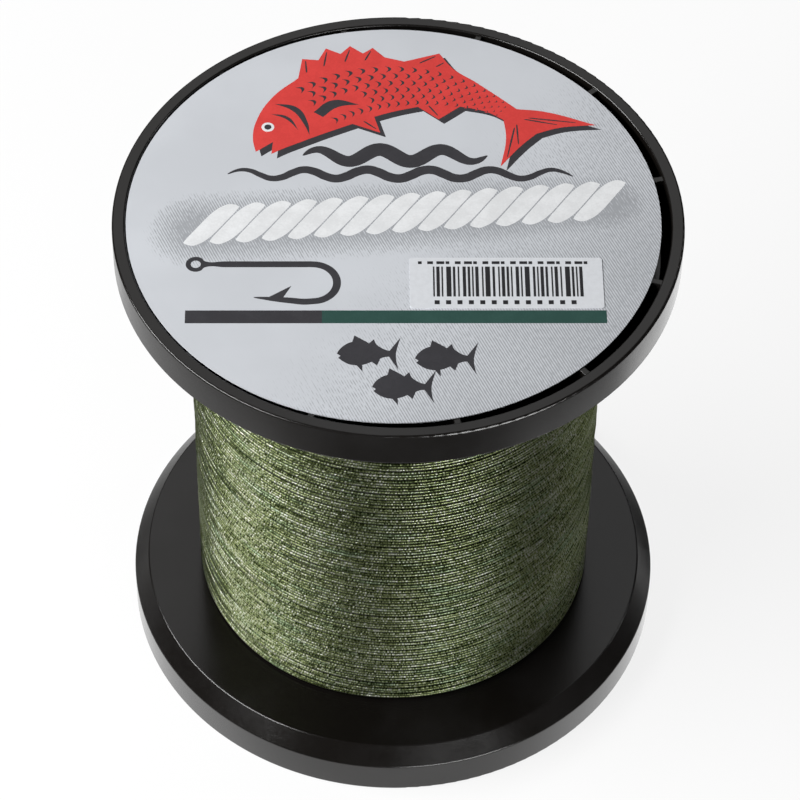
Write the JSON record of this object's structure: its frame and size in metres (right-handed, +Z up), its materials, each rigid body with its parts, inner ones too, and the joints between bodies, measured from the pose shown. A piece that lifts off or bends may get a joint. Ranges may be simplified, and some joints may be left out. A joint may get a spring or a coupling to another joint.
{
  "type": "fishing line spool",
  "caption": "Bulk spool of green braided fishing line: barrel between ribbed black flanges with bevelled rims, round label on the top flange, spindle bore from below.",
  "frame": {"origin": "centre of the base, where the spool's axis meets the surface that it stands on", "axes": "+Z up along the spool's axis, from the open lower flange to the labelled upper one; +X to the right of a reader who faces the label upright, +Y away from the reader"},
  "size_m": [0.11, 0.11, 0.1135],
  "materials": {
    "flange_plastic": "satin black moulded plastic, polished rims",
    "barrel_plastic": "plain black moulded plastic",
    "braided_line": "dark green braided fibre, slight sheen",
    "label_card": "coated silver-grey card, printed",
    "sticker_paper": "white gloss paper, printed with plain bars"
  },
  "bodies": {
    "root": {"bottom_flange": "flange_plastic", "top_flange": "flange_plastic", "barrel": "barrel_plastic", "line_pack": "braided_line", "line_turns": "braided_line", "top_label": "label_card", "code_sticker": "sticker_paper"}
  },
  "joints": []
}
